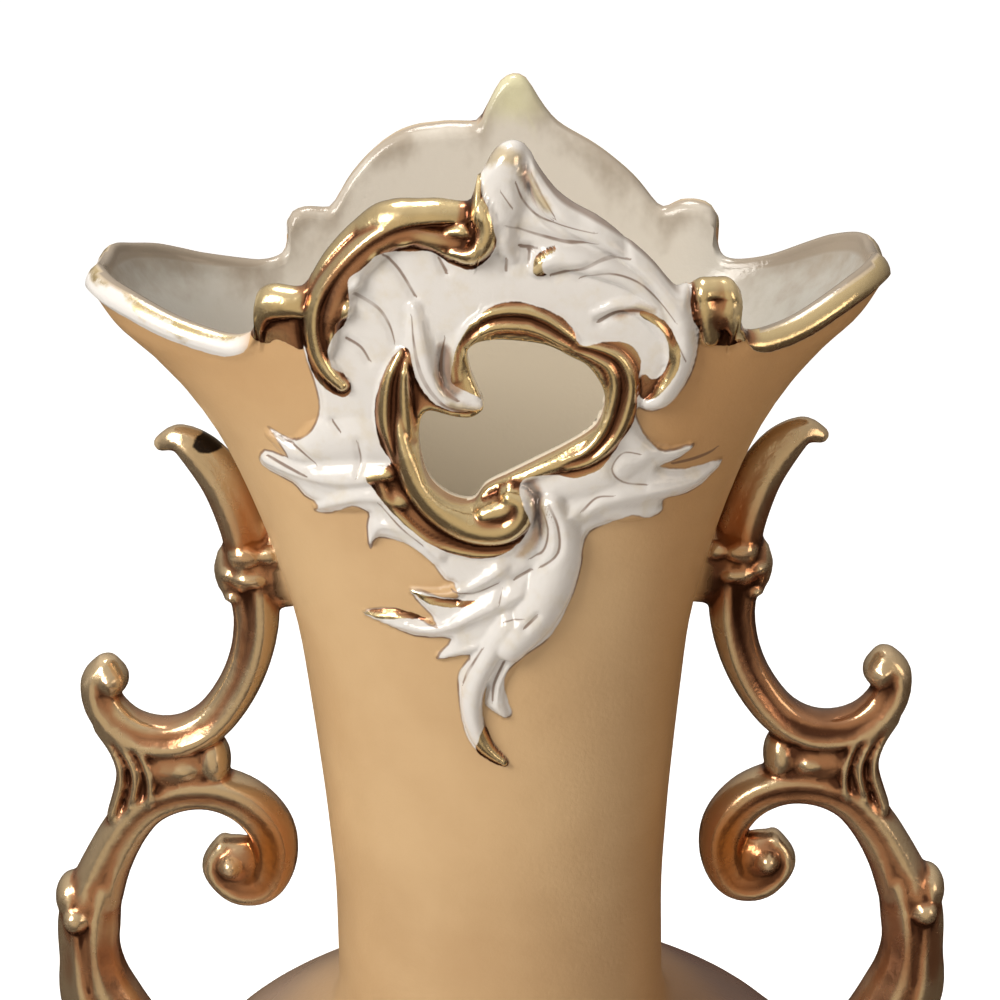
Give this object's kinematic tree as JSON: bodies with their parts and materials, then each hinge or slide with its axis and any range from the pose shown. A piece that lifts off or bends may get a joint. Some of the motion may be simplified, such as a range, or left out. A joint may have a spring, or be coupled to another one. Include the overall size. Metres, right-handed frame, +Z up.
{
  "type": "porcelain vase",
  "caption": "Rococo porcelain vase with a winged mouth, a pierced gilt and white pediment on the front, an apricot neck and two gilt double-scroll handles.",
  "frame": {"origin": "centre of the underside of the foot ring, on the surface that the vase stands on", "axes": "+Z up the vase's own axis; -Y towards the front with the pierced pediment; +X towards the handle on the viewer's right"},
  "size_m": [0.1824, 0.153, 0.351],
  "materials": {
    "porcelain": "satin apricot ground, glossy white relief and worn gilding"
  },
  "bodies": {
    "root": {"vase": "porcelain"}
  },
  "joints": []
}
